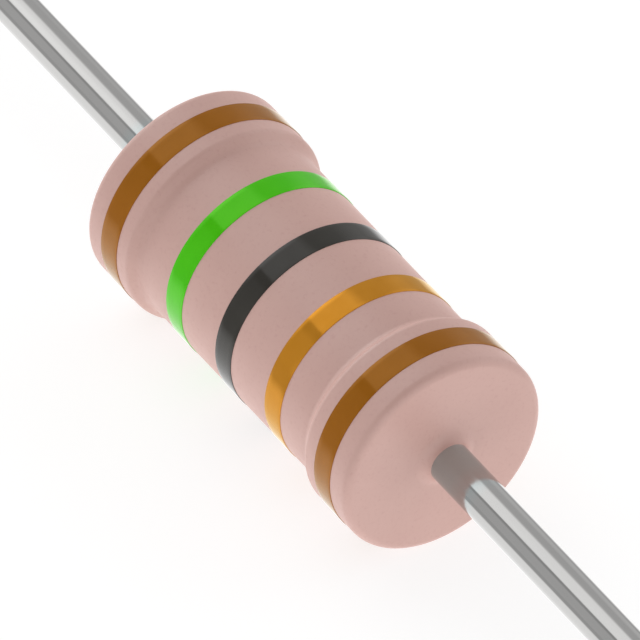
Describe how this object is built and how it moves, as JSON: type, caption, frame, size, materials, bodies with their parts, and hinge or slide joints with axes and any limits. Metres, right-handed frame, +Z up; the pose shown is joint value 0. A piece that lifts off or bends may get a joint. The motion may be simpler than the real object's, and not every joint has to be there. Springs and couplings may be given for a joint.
{
  "type": "axial film resistor",
  "caption": "Small axial film resistor: a salmon-pink dog-bone body with brown, green, black and gold colour bands and a straight wire lead at each end.",
  "frame": {"origin": "middle of the body, on the axis of the leads", "axes": "+X along the leads towards the end with the fifth band, the brown one beside the gold one, which is the near end in the picture; +Z up; the part is round about X, so Y and Z are free"},
  "size_m": [0.0584, 0.0042, 0.0042],
  "materials": {
    "ceramic": "fired, unglazed",
    "film": "thin alloy film, satin grey",
    "cap": "pressed and tin plated",
    "lead": "bright tinned copper wire",
    "coat": "satin lacquer",
    "brown_paint": "glossy printed paint",
    "green_paint": "glossy printed paint",
    "black_paint": "glossy printed paint",
    "gold_paint": "glossy printed paint"
  },
  "bodies": {
    "root": {"ceramic_rod": "ceramic", "resistive_film": "film", "end_cap_left": "cap", "end_cap_right": "cap", "lead_left": "lead", "lead_right": "lead", "coating": "coat", "band_1_brown": "brown_paint", "band_2_green": "green_paint", "band_3_black": "black_paint", "band_4_gold": "gold_paint", "band_5_brown": "brown_paint"}
  },
  "joints": []
}
